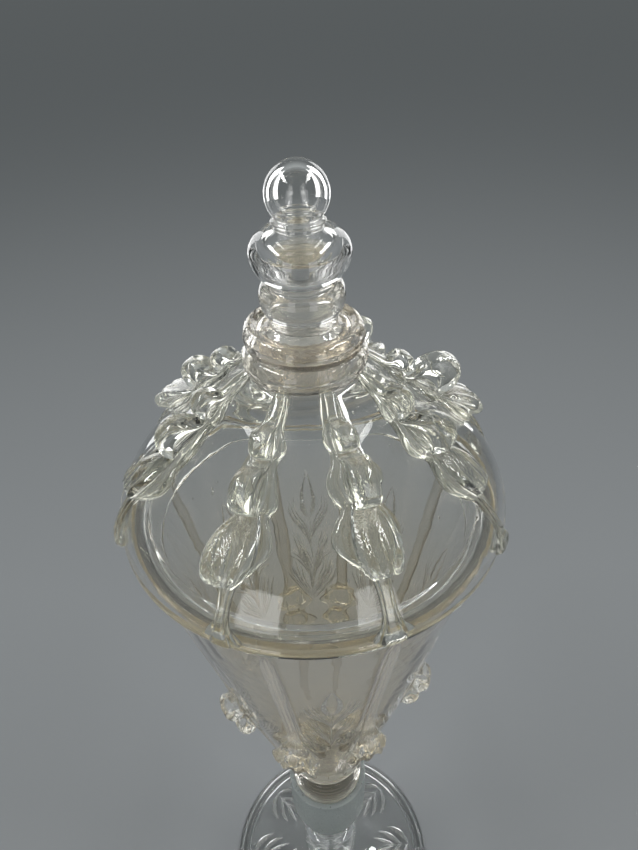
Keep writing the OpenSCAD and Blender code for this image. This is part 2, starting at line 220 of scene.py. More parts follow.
def reckon(tree, operation, *values):
    """Adds a math node for an operation on numbers or sockets, and gives its result."""
    node = tree.nodes.new("ShaderNodeMath")
    node.operation = operation
    for socket, value in zip(node.inputs, values):
        if isinstance(value, float):
            socket.default_value = value
        else:
            tree.links.new(value, socket)
    return node.outputs["Value"]


def melt_marks():
    """Builds the marks of hand-worked glass as a node group: slow cords drawn along the axis, fine ripples,
    and a colour that drifts between two tints with the cords. It reads Object coordinates."""
    group = bpy.data.node_groups.new("melt_marks", "ShaderNodeTree")
    face = group.interface
    number, colour = "NodeSocketFloat", "NodeSocketColor"
    for socket, kind, start in (
            ("Cord Scale", number, 40), ("Ripple Scale", number, 220), ("Clear Tint", colour, (1, 1, 1, 1)),
            ("Deep Tint", colour, (1, 1, 1, 1)), ("Haze", number, 0.02), ("Ripple Depth", number, 0.12)):
        face.new_socket(socket, in_out="INPUT", socket_type=kind).default_value = start
    for socket, kind in (("Tint", colour), ("Roughness", number), ("Height", number)):
        face.new_socket(socket, in_out="OUTPUT", socket_type=kind)
    nodes, link = group.nodes, group.links.new
    given, result = nodes.new("NodeGroupInput"), nodes.new("NodeGroupOutput")
    place = nodes.new("ShaderNodeTexCoord")
    drawn = nodes.new("ShaderNodeMapping")
    drawn.inputs["Scale"].default_value = (1, 1, 0.3)
    link(place.outputs["Object"], drawn.inputs["Vector"])
    cords = nodes.new("ShaderNodeTexNoise")
    cords.inputs["Detail"].default_value = 2
    cords.inputs["Distortion"].default_value = 0.6
    link(drawn.outputs["Vector"], cords.inputs["Vector"])
    link(given.outputs["Cord Scale"], cords.inputs["Scale"])
    ripples = nodes.new("ShaderNodeTexNoise")
    ripples.inputs["Detail"].default_value = 1
    link(place.outputs["Object"], ripples.inputs["Vector"])
    link(given.outputs["Ripple Scale"], ripples.inputs["Scale"])
    tint = nodes.new("ShaderNodeMix")
    tint.data_type = "RGBA"
    link(cords.outputs["Fac"], tint.inputs["Factor"])
    link(given.outputs["Clear Tint"], tint.inputs["A"])
    link(given.outputs["Deep Tint"], tint.inputs["B"])
    link(tint.outputs["Result"], result.inputs["Tint"])
    fine = ripples.outputs["Fac"]
    link(reckon(group, "MULTIPLY", fine, given.outputs["Haze"]), result.inputs["Roughness"])
    height = reckon(group, "MULTIPLY_ADD", fine, given.outputs["Ripple Depth"], cords.outputs["Fac"])
    link(height, result.inputs["Height"])
    return group


melt_group = melt_marks()


def worked_glass(name, clear_tint, deep_tint, relief, haze, cord_scale=40, ripple_scale=220,
                 ripple_depth=0.12, passes=1):
    """A glass finish: the melt marks drive its tint, its slight haze and a bump whose relief is in mm.
    passes is the share of light that goes through rather than scattering at the surface."""
    finish = bpy.data.materials.new(name)
    finish.use_nodes = True
    nodes, link = finish.node_tree.nodes, finish.node_tree.links.new
    shader = nodes["Principled BSDF"]
    shader.inputs["Transmission Weight"].default_value = passes
    shader.inputs["IOR"].default_value = 1.5
    marks = nodes.new("ShaderNodeGroup")
    marks.node_tree = melt_group
    for socket, value in (("Cord Scale", cord_scale), ("Ripple Scale", ripple_scale), ("Haze", haze),
                          ("Ripple Depth", ripple_depth), ("Clear Tint", (*clear_tint, 1)),
                          ("Deep Tint", (*deep_tint, 1))):
        marks.inputs[socket].default_value = value
    bump = nodes.new("ShaderNodeBump")
    bump.inputs["Distance"].default_value = relief * mm
    link(marks.outputs["Height"], bump.inputs["Height"])
    link(bump.outputs["Normal"], shader.inputs["Normal"])
    link(marks.outputs["Tint"], shader.inputs["Base Color"])
    link(marks.outputs["Roughness"], shader.inputs["Roughness"])
    return finish


def settle(piece, node, body, finish):
    """Gives a piece its finish and its place: it stands for a CAD node and rides on that node's body."""
    piece.data.materials.append(finish)
    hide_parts(node)
    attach(piece, body)


def wall_run(line):
    """Describes a wall's outline, run from its top down, by length: radius, height and outward normal."""
    step = np.gradient(line, axis=0)
    step /= np.hypot(step[:, 0], step[:, 1])[:, None]
    run = np.concatenate([[0], np.cumsum(np.hypot(*np.diff(line, axis=0).T))])
    return run, np.stack([line[:, 0], line[:, 1], -step[:, 1], step[:, 0]], axis=1)


def on_wall(wall, place, across, rise, azimuth):
    """Points at a length along a round wall, at a distance across it and a rise off it: the wall's point is
    moved along its normal and turned about the axis by the distance across over the radius."""
    run, track = wall
    radius, height, out, up = (np.interp(place, run, column) for column in track.T)
    angle = azimuth + across / np.maximum(radius, 1 * mm)
    far = radius + rise * out
    return np.stack([far * np.cos(angle), far * np.sin(angle), height + rise * up], axis=-1)


def bezier_shares(samples):
    """Shares of a cubic Bezier curve: row i holds the part that each of four controls takes in sample i."""
    t = np.linspace(0, 1, samples)[:, None]
    return np.concatenate([(1 - t) ** 3, 3 * t * (1 - t) ** 2, 3 * t * t * (1 - t), t ** 3], axis=1)


def engraved_strokes(wall, azimuths, low, strokes, widths, depth, samples=13):
    """Wheel-cut strokes on a round wall. Each is a cubic Bezier path in mm, across the wall and up from the
    low length, and carries a lens-shaped section whose half width swells along it as a sine.
    The whole spray is repeated at each azimuth."""
    path = np.einsum("tc,scd->std", bezier_shares(samples), np.array(strokes, float)) * mm
    step = np.gradient(path, axis=1)
    step /= np.linalg.norm(step, axis=2, keepdims=True)
    swell = 0.04 + np.sin(np.pi * np.linspace(0, 1, samples)) ** 0.8
    half = np.array(widths)[:, None] / 2 * mm * swell
    lens = np.array([[-1, 0], [-0.5, 0.8], [0.5, 0.8], [1, 0], [0.5, -0.8], [-0.5, -0.8]])
    aside = half[:, :, None] * lens[:, 0]
    across = path[:, :, :1] + step[:, :, 1:] * aside
    place = low - path[:, :, 1:] + step[:, :, :1] * aside
    rise = np.broadcast_to(depth * lens[:, 1], across.shape)
    sprays = [on_wall(wall, place, across, rise, azimuth) for azimuth in azimuths]
    points = np.stack(sprays).reshape(-1, samples, len(lens), 3)
    index = np.arange(points[..., 0].size).reshape(points.shape[:3])
    ahead = np.roll(index, -1, axis=2)
    quads = np.stack([index[:, 1:], ahead[:, 1:], ahead[:, :-1], index[:, :-1]], axis=3).reshape(-1, 4)
    return points.reshape(-1, 3), quads.tolist() + index[:, 0].tolist() + index[:, -1, ::-1].tolist()


def both_sides(strokes):
    """Strokes and their mirror images across the middle of the spray."""
    return strokes + [[(-x, y) for x, y in stroke] for stroke in strokes]


clear_glass = worked_glass("clear_soda_glass", (0.985, 0.99, 0.985), (0.965, 0.97, 0.955), 0.5, 0.015)

foot_r, foot_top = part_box("foot")[1].x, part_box("foot")[1].z
fold_in_r, boss_r, edge_r, disc_t, kick = foot_r - 6.5 * mm, 11 * mm, 2.1 * mm, 3.4 * mm, 5 * mm
share = np.linspace(0, 1, 30)
under_disc = np.stack([fold_in_r * share, 1.2 * mm + (kick - 1.2 * mm) * (1 - share) ** 2], axis=1)
fold = np.array([[0, 0.8], [0.5, 0.1], [2, 0]]) * mm + [fold_in_r, 0]
turn = np.radians(np.linspace(-90, 90, 14))
folded_edge = arc(foot_r - edge_r, edge_r, turn, edge_r)
over_disc = np.stack([fold_in_r + (boss_r - fold_in_r) * share,
                      disc_t + (foot_top + join - disc_t) * share ** 2], axis=1)
foot_line = np.concatenate([under_disc, fold, folded_edge, over_disc, [[0, foot_top + join]]])
foot_line = soft_outline(foot_line, 0.4, 0.5)
foot_leaves = both_sides([[(0, 0), (5, 1), (9, 4), (10, 10)], [(0.5, 4), (2, 8), (7, 9), (7, 16)],
                          [(0.3, 8), (1, 12), (3, 15), (3.5, 21)]])
foot_leaves += [[(0, 0), (0.3, 6), (-0.3, 12), (0, 19)]]
foot_cut = engraved_strokes(wall_run(over_disc[::-1]), np.radians(np.arange(8) * 45), 36 * mm, foot_leaves,
                            [3.2, 2.8, 2.2] * 2 + [0.8], 0.006 * mm)
fold_turn = np.linspace(2 * np.pi, 0, 24, endpoint=False)
fold_air = arc(foot_r - 3.6 * mm, 2.2 * mm, fold_turn, 1.9 * mm, 0.75 * mm)
brushed_glass = worked_glass("brushed_cut_glass", (0.97, 0.97, 0.95), (0.93, 0.93, 0.9), 0.05, 0.4,
                             cord_scale=200, ripple_scale=1500, passes=0.98)
foot = glass_piece("foot_disc", turned(foot_line, around=160, sway=0.002, seed=1),
                   turned(fold_air, around=160, sway=0.002, seed=1), cut=foot_cut)
settle(foot, "foot", "goblet", clear_glass)
foot.data.materials.append(brushed_glass)

# Stem knop and neck
# Two gathers of clear glass, marvered round and stuck to the foot's boss while hot.
# The knop holds a tear of air, drawn to a point, and the neck is waisted with the pincers.


def knop_swell(low, high, low_r, middle_r, high_r):
    """Outline of a knop's side between two heights: the radius swells from the low end to the middle and goes
    on to the high end as the cosine of a half turn."""
    a = np.radians(np.linspace(-90, 90, 40))
    end_r = np.where(a < 0, low_r, high_r)
    return arc(end_r, (low + high) / 2, a, middle_r - end_r, (high - low) / 2)


def knop_line(node, middle_r, low_r, high_r, step, soften, neck=0, cap=None):
    """Soft outline of a solid knop over a node's height. Its neck bites into the piece above, unless other
    points are given for the cap."""
    low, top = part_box(node)[0].z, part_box(node)[1].z
    swell = knop_swell(low, top - neck, low_r, middle_r, high_r)
    cap = [[high_r, top + join], [0, top + join]] if cap is None else cap
    return soft_outline(np.concatenate([[[0, low]], swell, cap]), step, soften)


def air_tear(low, high, widest_r):
    """A drop of air in solid glass, round below and drawn to a point above. Its line runs downwards, so that
    its faces look into the air."""
    t = np.linspace(0, 1, 40)
    radius = widest_r * np.sin(np.pi * t ** 0.6) ** 0.9 * (0.25 + 0.75 * (1 - t)) * 1.25
    return turned(np.stack([radius, low + (high - low) * t], axis=1)[::-1], around=48)


stem_end_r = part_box("stem_neck")[1].x
stem_knop_line = knop_line("stem_knop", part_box("stem_knop")[1].x, stem_end_r, stem_end_r, 0.4, 0.8)
stem_knop = glass_piece("stem_knop_round", turned(stem_knop_line, sway=0.004, seed=2),
                        air_tear(13 * mm, 36 * mm, 9.4 * mm))
settle(stem_knop, "stem_knop", "goblet", clear_glass)
neck_line = knop_line("stem_neck", stem_end_r - 1.4 * mm, stem_end_r, stem_end_r, 0.5, 0.8)
stem_neck = glass_piece("stem_neck_waisted", turned(neck_line, sway=0.004, seed=3))
settle(stem_neck, "stem_neck", "goblet", clear_glass)

# Frosted cup
# A short cup of glass, ground matte all over on the wheel, with a rounded bottom.
# Its round seat takes the knop above. Most of the seat is coloured dark brown as painted shade, for the shade
# that the knop throws into it.
cup_low, cup_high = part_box("frosted_cup")[0].z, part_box("frosted_cup")[1].z
cup_r, cup_base_r, cup_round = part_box("frosted_cup")[1].x, 11 * mm, 18 * mm
knop_r = 17 * mm
knop_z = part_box("bowl_base_knop")[0].z + knop_r
seat_r = knop_r + 0.2 * mm
quarter = np.radians(np.linspace(-90, 0, 24))
cup_side = arc(cup_base_r, cup_low + cup_round, quarter, cup_r - cup_base_r, cup_round)
seat_turn = np.linspace(np.arcsin((cup_high - knop_z) / seat_r), -np.pi / 2, 30)
cup_seat = arc(0, knop_z, seat_turn, seat_r)
cup_line = np.concatenate([[[0, cup_low]], cup_side, [[cup_r, cup_high]], cup_seat])
cup_line[-1, 0] = 0
cup_line = soft_outline(cup_line, 0.35, 0.5)
frosted_glass = worked_glass("ground_matte_glass", (0.5, 0.535, 0.52), (0.43, 0.475, 0.46), 0.12, 0.9,
                             cord_scale=120, ripple_scale=900, passes=0.88)
# Dark brown painted shade for the seat under the knop
seat_painted_shade = worked_glass("painted_shade_seat_glass", (0.22, 0.195, 0.155), (0.14, 0.12, 0.095), 0.1, 0.3,
                          passes=0.8)
cup = glass_piece("frosted_cup_ground", turned(cup_line, sway=0.003, seed=4))
settle(cup, "frosted_cup", "goblet", frosted_glass)


def face_middles(piece):
    """The middles of a piece's faces, one row for each."""
    middles = np.zeros(len(piece.data.polygons) * 3)
    piece.data.polygons.foreach_get("center", middles)
    return middles.reshape(-1, 3)


def part_finish(piece, finish, chosen):
    """Gives one more finish to the faces whose middles pass a test of their radius and height."""
    piece.data.materials.append(finish)
    across, deep, height = face_middles(piece).T
    kept = np.zeros(len(across), np.int32)
    piece.data.polygons.foreach_get("material_index", kept)
    marked = np.where(chosen(np.hypot(across, deep), height), len(piece.data.materials) - 1, kept)
    piece.data.polygons.foreach_set("material_index", marked.astype(np.int32))


# The seat's faces, all but a ring at its top, take the dark painted shade
part_finish(cup, seat_painted_shade, lambda r, z: (abs(np.hypot(r, z - knop_z) - seat_r) < 0.4 * mm)
            & (z < cup_high - 2.5 * mm))

# Knop under the bowl
# A solid ball of straw-tinted glass, bedded in the cup and drawn up to the bowl's bottom.
# It is full of seed bubbles, ringed by the turns of its gathering, and works as a lens.
straw_glass = worked_glass("straw_soda_glass", (0.985, 0.975, 0.945), (0.965, 0.935, 0.86), 0.5, 0.015)


def small_balls(count, around=10, up=6):
    """Unit balls of longitude and latitude: the points of one ball, and the faces of all of them, which look
    inwards, into the air that a ball holds."""
    long = np.arange(around) / around * 2 * np.pi
    lat = np.radians(np.linspace(-66, 66, up))
    ball = np.stack([np.cos(lat)[:, None] * np.cos(long), np.cos(lat)[:, None] * np.sin(long),
                     np.sin(lat)[:, None] + 0 * long], axis=2).reshape(-1, 3)
    ball = np.concatenate([ball, [[0, 0, -1], [0, 0, 1]]])
    shift = np.arange(count)[:, None, None] * len(ball)
    groups = [group[:, ::-1] + shift for group in tube_faces(up, around)]
    return ball, [face for group in groups for face in group.reshape(-1, group.shape[-1]).tolist()]


def seed_bubbles(low, high, reach_r, count, widest, seed):
    """Small air bubbles strewn in a round piece between two heights, each a ball drawn a little upwards."""
    rng = np.random.default_rng(seed)
    far, at = reach_r * np.sqrt(rng.uniform(0, 1, count)), rng.uniform(0, 2 * np.pi, count)
    middle = np.stack([far * np.cos(at), far * np.sin(at), rng.uniform(low, high, count)], axis=1)
    size = widest * rng.uniform(0.35, 1, count) ** 2
    ball, faces = small_balls(count)
    return (middle[:, None] + size[:, None, None] * ball * [1, 1, 1.2]).reshape(-1, 3), faces


def wound(line, step, depth):
    """Lays faint turns of winding on a round outline: a sine of the height, strongest at full radius.
    Its step and depth are in mm."""
    turns = depth * mm * np.sin(2 * np.pi * line[:, 1] / (step * mm))
    line[:, 0] += turns * (line[:, 0] / line[:, 0].max()) ** 6
    return line


knop_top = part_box("bowl_base_knop")[1].z
ball_turn = np.linspace(-np.pi / 2, np.arcsin((knop_top - knop_z) / knop_r), 60)
base_knop_line = arc(0, knop_z, ball_turn, knop_r)
bowl_foot_r = base_knop_line[-1, 0]
base_knop_line = np.concatenate([base_knop_line, [[bowl_foot_r, knop_top + join], [0, knop_top + join]]])
base_knop_line[0, 0] = 0
base_knop_line = wound(soft_outline(base_knop_line, 0.25, 0.4), 1.7, 0.04)
base_knop = glass_piece("bowl_base_knop_ball", turned(base_knop_line, seed=5),
                        seed_bubbles(knop_z - 9 * mm, knop_z + 8 * mm, 9 * mm, 14, 0.35 * mm, 6))
settle(base_knop, "bowl_base_knop", "goblet", straw_glass)

# Bowl
# A long cone blown in clear glass, thick and tinted at the bottom, thin and fire-polished at the mouth.
# Its foot is cased on the straw knop below, and a spray of leaves is wheel-cut between each two threads.
bowl_low, seat_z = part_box("bowl")[0].z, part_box("bowl")[1].z
mouth_r, bowl_base_r, bowl_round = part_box("bowl")[1].x, 18 * mm, 6 * mm
bowl_wall, bowl_floor, bowl_belly = 2.6 * mm, 9 * mm, 1.2 * mm


def bowl_outer_r(z):
    """Radius of the bowl's outer wall: a straight cone with a slight belly, a parabola over the height."""
    u = (z - bowl_low - bowl_round) / (seat_z - bowl_low - bowl_round)
    return bowl_base_r + (mouth_r - bowl_base_r) * u + 4 * bowl_belly * u * (1 - u)


bowl_up = np.linspace(bowl_low + bowl_round, seat_z, 120)
inner_low = bowl_low + bowl_floor + bowl_round
bowl_down = np.linspace(seat_z, inner_low, 120)
bowl_bottom = arc(bowl_foot_r, bowl_low + bowl_round, quarter, bowl_base_r - bowl_foot_r, bowl_round)
bowl_outer = np.stack([bowl_outer_r(bowl_up), bowl_up], axis=1)
bowl_inner = np.stack([bowl_outer_r(bowl_down) - bowl_wall, bowl_down], axis=1)
bowl_well = arc(0, inner_low, quarter[::-1], bowl_inner[-1, 0], bowl_round)
bowl_well[-1, 0] = 0
bowl_line = np.concatenate([[[0, bowl_low]], bowl_bottom, bowl_outer[1:], bowl_inner, bowl_well[1:]])
bowl_line = soft_outline(bowl_line, 0.9, 1.2)


def wall_seeds(wall, depth, count, widest, seed):
    """Small air bubbles strewn in a round wall at a depth under its face, each a flat ball drawn along it.
    The widest is given in mm."""
    rng = np.random.default_rng(seed)
    place, at = rng.uniform(0.03, 0.97, count) * wall[0][-1], rng.uniform(0, 2 * np.pi, count)
    size = (widest * mm * rng.uniform(0.3, 1, count) ** 2)[:, None]
    ball, faces = small_balls(count)
    place = place[:, None] + 1.5 * size * ball[:, 2]
    rise = -depth + 0.6 * size * ball[:, 0]
    return on_wall(wall, place, size * -ball[:, 1], rise, at[:, None]).reshape(-1, 3), faces


def deepen_below(finish, low, high, tint):
    """Multiplies a glass finish by a tint that is full at the low height and gone at the high one."""
    nodes, link = finish.node_tree.nodes, finish.node_tree.links.new
    shader = nodes["Principled BSDF"]
    marks_tint = shader.inputs["Base Color"].links[0].from_socket
    place = nodes.new("ShaderNodeTexCoord")
    height = nodes.new("ShaderNodeSeparateXYZ")
    fade = nodes.new("ShaderNodeMapRange")
    fade.interpolation_type = "SMOOTHSTEP"
    for socket, value in (("From Min", low), ("From Max", high), ("To Min", 1), ("To Max", 0)):
        fade.inputs[socket].default_value = value
    link(place.outputs["Object"], height.inputs["Vector"])
    link(height.outputs["Z"], fade.inputs["Value"])
    deeper = nodes.new("ShaderNodeMix")
    deeper.data_type, deeper.blend_type = "RGBA", "MULTIPLY"
    deeper.inputs["B"].default_value = (*tint, 1)
    link(fade.outputs["Result"], deeper.inputs["Factor"])
    link(marks_tint, deeper.inputs["A"])
    link(deeper.outputs["Result"], shader.inputs["Base Color"])


engraved_glass = worked_glass("wheel_cut_glass", (0.97, 0.97, 0.95), (0.93, 0.93, 0.9), 0.05, 0.45,
                              cord_scale=200, ripple_scale=1500, passes=0.6)
thread_count = 8
bowl_azimuths = np.radians(-87 + 45 * (np.arange(thread_count) + 0.5))
bowl_wall_run = wall_run(bowl_outer[::-1])
leaves = [[(0, 0), (5, 4), (9, 10), (12, 20)], [(0, 2), (4.5, 8), (7, 14), (9, 23)],
          [(0.3, 6), (1, 16), (4, 24), (11, 27)], [(0.2, 17), (3, 22), (7, 27), (8, 37)],
          [(0.3, 30), (1, 40), (9, 42), (9, 54)], [(0.2, 44), (4, 48), (4, 57), (0, 66)]]
# Each leaf is hatched with strokes that step inwards and up
hatch = 3
spray = both_sides([[(x * (1 - 0.16 * j), y + 1.1 * j) for x, y in leaf]
                    for leaf in leaves for j in range(hatch)])
spray += [[(0, 0), (0.5, 15), (-0.5, 30), (0, 48)]]
spray_widths = [0.9, 0.7, 0.5] * 2 * len(leaves) + [0.5]
bowl_cut = engraved_strokes(bowl_wall_run, bowl_azimuths + np.radians(22.5), 101 * mm, spray, spray_widths,
                            0.01 * mm)
# The wall grows hazier in bands from about its middle down, and its straw tint fades towards the mouth
haze_bands, haze_step = 9, 11 * mm
bowl_glasses = []
for k in range(haze_bands):
    band_glass = worked_glass(f"blown_bowl_glass_{k + 1}", (0.99, 0.99, 0.98), (0.965, 0.955, 0.93), 0.5,
                              0.012, cord_scale=28, ripple_depth=0.05, passes=0.97 - 0.022 * k)
    deepen_below(band_glass, bowl_low + 70 * mm, seat_z, (0.99, 0.925, 0.79))
    bowl_glasses.append(band_glass)
bowl = glass_piece("bowl_blown", turned(bowl_line, around=160, sway=0.002, seed=7),
                   wall_seeds(bowl_wall_run, bowl_wall / 2, 90, 0.5, 19), cut=bowl_cut)
settle(bowl, "bowl", "goblet", bowl_glasses[0])
cut_faces = np.zeros(len(bowl.data.polygons), np.int32)
bowl.data.polygons.foreach_get("material_index", cut_faces)
face_z = face_middles(bowl)[:, 2]
haze = np.clip((bowl_low + haze_bands * haze_step - face_z) // haze_step, 0, haze_bands - 1)
for finish in [*bowl_glasses[1:], engraved_glass]:
    bowl.data.materials.append(finish)
bowl.data.polygons.foreach_set("material_index", np.where(cut_faces, haze_bands, haze).astype(np.int32))

# Threads on the bowl
# Eight threads of straw glass, trailed hot down the wall from below the mouth to near the bottom.
# Each is pinched twice with ribbed pincers into a fan of three lobes, whose free edge stands off the wall.


def spline_shares(controls, samples, closed):
    """Shares of a uniform cubic B-spline: row i holds the part that each control takes in sample i.
    A closed spline runs round its controls, and an open one starts and ends on its end controls."""
    spans = controls if closed else controls + 1
    t = np.linspace(0, spans, samples, endpoint=not closed)
    first = np.minimum(t.astype(int), spans - 1)
    f = t - first
    parts = np.stack([(1 - f) ** 3, 3 * f ** 3 - 6 * f ** 2 + 4,
                      -3 * f ** 3 + 3 * f ** 2 + 3 * f + 1, f ** 3], axis=1) / 6
    near = first[:, None] + np.arange(4)
    near = near % controls if closed else np.clip(near - 2, 0, controls - 1)
    shares = np.zeros((samples, controls))
    np.add.at(shares, (np.arange(samples)[:, None], near), parts)
    return shares


def pinched_thread(name, wall, azimuth, stations, lobes, air, rng, comb_depth=0.14 * mm, rows=8, section=80):
    """A thread on a wall as one closed B-spline surface. Each station gives, in mm, where its foot and crown
    lie along the wall, how far the crown rises, half its width at foot and head, and how thick its wings are.
    Round a station runs a closed loop: out along one wing, in to the stalk, over the round head and back,
    then under the wall's face. Where lobes is set, two dips split the head into three lobes. A comb of
    grooves runs along one side of it, and each thread drifts a little from the others.
    Air gives slim bubbles inside the heads: place, distance across, rise, half length and half width, in mm.
    The map holds the distance across and the place in metres, and the pinch attribute how far the pincers
    have squeezed."""
    foot, crown, rise, foot_w, head_w, wing = (np.array(column) * mm for column in zip(*stations))
    loose = rng.standard_normal((5, len(stations) + 4)) * np.array([0.16, 0.16, 0.14, 0.26, 0.26])[:, None]
    drift = 1 + np.stack([np.convolve(row, [0.1, 0.25, 0.3, 0.25, 0.1], mode="valid") for row in loose])
    crown = foot + (crown - foot) * drift[0]
    rise, head_w = rise * (0.5 + 0.5 * drift[1]), head_w * drift[2]
    right_w, left_w = np.maximum(foot_w * drift[3:], 1.1 * head_w)
    lean = np.cumsum(rng.standard_normal(len(stations))) * 0.35 * mm
    lean -= np.linspace(lean[0], lean[-1], len(stations))
    side = np.array([1, 1.03, 0.75, 0.2, 0, 0, 0, 0])
    stalk = np.array([0, 0, 0, 0.5, 0.6, 1.12, 0.85, 0])
    wing_up = np.array([-0.3, 0.8, 1.5, 0.9, 0, 0, 0, 0])
    head_up = np.array([0, 0, 0, 0, 0.42, 0.7, 1.04, 1.06])
    half_rise = wing[:, None] * wing_up + rise[:, None] * head_up
    right, left = (width[:, None] * side + head_w[:, None] * stalk for width in (right_w, left_w))
    under = np.stack([-0.8 * left_w, 0 * left_w, 0.8 * right_w], axis=1)
    across = np.concatenate([right, -left[:, -2::-1], under], axis=1)
    up = np.concatenate([half_rise, half_rise[:, -2::-1], np.full((len(foot), 3), -0.35 * mm)], axis=1)
    over = np.clip(up / np.maximum(rise[:, None], 0.1 * mm), 0, 1)
    place = foot[:, None] + (crown - foot)[:, None] * over
    across = across + lean[:, None] * (0.4 + 0.6 * over)
    along = spline_shares(len(stations), rows * len(stations), closed=False)
    round_it = spline_shares(across.shape[1], section, closed=True)
    place, across, up = (along @ grid @ round_it.T for grid in (place, across, up))
    head = (along @ head_w)[:, None]
    full = np.clip(up / np.maximum((along @ rise)[:, None], 0.1 * mm), 0, 1)
    share = (across - (along @ lean)[:, None]) / np.maximum(head, 0.3 * mm)
    dip = (0.5 - 0.5 * np.cos(3 * np.pi * np.clip(share, -1, 1))) * full * (along @ np.array(lobes))[:, None]
    squeezed = full ** 2 * np.clip(head / (3 * mm) - 0.5, 0, 1) * np.clip(0.75 - share, 0, 1)
    comb = 0.5 - 0.5 * np.cos(2 * np.pi * (across + 0.7 * mm * np.sin(place / (3.5 * mm))) / (2.2 * mm))
    up = up * (1 - 0.38 * dip) - comb_depth * comb * squeezed
    place = place - 2.6 * mm * dip
    points = on_wall(wall, place, across, up, azimuth).reshape(-1, 3)
    ends = points.reshape(len(along), section, 3)[[0, -1]].mean(axis=1)
    quads, start_fan, end_fan = tube_faces(len(along), section)
    shell = np.concatenate([points, ends]), quads.tolist() + start_fan.tolist() + end_fan.tolist()
    at, aside, deep, long, wide = (column[:, None] * mm for column in np.array(air, float).T)
    ball, air_faces = small_balls(len(air), up=8)
    pockets = on_wall(wall, at + long * ball[:, 2], aside - wide * ball[:, 1],
                      deep + 0.6 * wide * ball[:, 0], azimuth)
    thread = glass_piece(name, shell, (pockets.reshape(-1, 3), air_faces))
    marks = np.zeros((len(thread.data.vertices), 3))
    marks[:len(points)] = np.stack([across, place, squeezed], axis=2).reshape(-1, 3)
    corner = np.zeros(len(thread.data.loops), np.int32)
    thread.data.loops.foreach_get("vertex_index", corner)
    thread.data.uv_layers.new(name="along_thread").data.foreach_set("uv", marks[corner, :2].ravel())
    pinch = thread.data.attributes.new("pinch", "FLOAT", "POINT")
    pinch.data.foreach_set("value", marks[:, 2].astype(np.float32))
    return thread


def imprint_pincers(finish, rib_step, bar_step, depth, groove_step, groove_depth):
    """Presses the pincers' waffle into a thread's finish: a sine across times a sine along, where the pinch
    attribute is high, and a sine of drawn grooves along the whole thread, both added to the bump's height.
    The steps are in mm."""
    tree = finish.node_tree
    bump = tree.nodes["Principled BSDF"].inputs["Normal"].links[0].from_node
    marks_height = bump.inputs["Height"].links[0].from_socket
    chart = tree.nodes.new("ShaderNodeUVMap")
    split = tree.nodes.new("ShaderNodeSeparateXYZ")
    pinch = tree.nodes.new("ShaderNodeAttribute")
    chart.uv_map, pinch.attribute_name = "along_thread", "pinch"
    tree.links.new(chart.outputs["UV"], split.inputs["Vector"])
    waves = []
    for side, step in (("X", rib_step), ("Y", bar_step), ("X", groove_step)):
        turns = reckon(tree, "MULTIPLY", split.outputs[side], 2 * np.pi / (step * mm))
        waves.append(reckon(tree, "SINE", turns))
    pressed = reckon(tree, "MULTIPLY", pinch.outputs["Fac"], depth)
    waffle = reckon(tree, "MULTIPLY", reckon(tree, "MULTIPLY", *waves[:2]), pressed)
    relief = reckon(tree, "ADD", waffle, reckon(tree, "MULTIPLY", waves[2], groove_depth))
    tree.links.new(reckon(tree, "ADD", marks_height, relief), bump.inputs["Height"])


trailed_glass = worked_glass("trailed_straw_glass", (0.988, 0.988, 0.94), (0.965, 0.958, 0.865), 0.5,
                             0.01, cord_scale=70, ripple_scale=300)
imprint_pincers(trailed_glass, 1, 1.35, 0.06, 1.9, 0.015)
fanned_glass = worked_glass("fanned_straw_glass", (0.995, 0.988, 0.955), (0.98, 0.966, 0.9), 0.5, 0.012,
                            cord_scale=70, ripple_scale=300, passes=0.955)
imprint_pincers(fanned_glass, 1.1, 2.4, 0.04, 1.3, 0.03)
streaked_glass = worked_glass("streaked_thread_glass", (0.99, 0.975, 0.93), (0.95, 0.92, 0.85), 0.4,
                              0.02, cord_scale=70, ripple_scale=300, passes=0.83)
imprint_pincers(streaked_glass, 1.1, 2.4, 0.04, 1.5, 0.06)
# Foot, crown, rise, half widths of foot and head, wing, all in mm down from the mouth
plain_run = [(8, 8, 0.3, 0.8, 0.6, 0.2), (10, 10, 0.7, 2.6, 1.9, 0.35), (30, 30, 0.75, 2.8, 2.1, 0.35),
             (55, 55, 0.75, 2.7, 2, 0.35), (78, 78, 1, 2.8, 2, 0.5), (86, 86.5, 1.9, 3.2, 2.2, 0.8)]
fan = np.array([(0, 0.2, 2.4, 4, 2.6, 1), (2.2, 1, 4.8, 5.2, 3.6, 1.1), (3.8, 2.8, 7, 6.4, 4.6, 1.2),
                (5.2, 5.8, 8, 7.2, 5.4, 1.3), (6.6, 9, 7.2, 7.6, 5.7, 1.3),
                (7.8, 10.8, 5, 7.2, 5.4, 1.2), (8.8, 10.4, 2.8, 5.8, 4, 1.1),
                (10.2, 10.6, 1.7, 4.2, 2.6, 1)])
upper_fan = (fan + [90.5, 90.5, 0, 0, 0, 0]).tolist()
lower_fan = (fan * [1.05, 1.05, 0.95, 0.88, 0.88, 1] + [104, 104, 0, 0, 0, 0]).tolist()
tail_run = [(119, 119, 1.6, 2.8, 1.9, 0.8), (132, 132, 1.3, 2.6, 1.8, 0.6), (146, 146, 1.1, 2.2, 1.5, 0.5),
            (158, 158, 0.3, 0.8, 0.6, 0.2)]
bowl_stations = plain_run + upper_fan + lower_fan + tail_run
bowl_lobes = [0] * len(plain_run) + 2 * [0, 0.1, 0.2, 0.4, 0.6, 0.6, 0.3, 0] + [0] * len(tail_run)
fan_air = np.array([(97, -3, 4.6, 2.2, 0.5), (98, 2.5, 5, 2.6, 0.45), (114, -1.5, 4.6, 2.6, 0.5),
                    (115, 2, 5, 2, 0.4)])
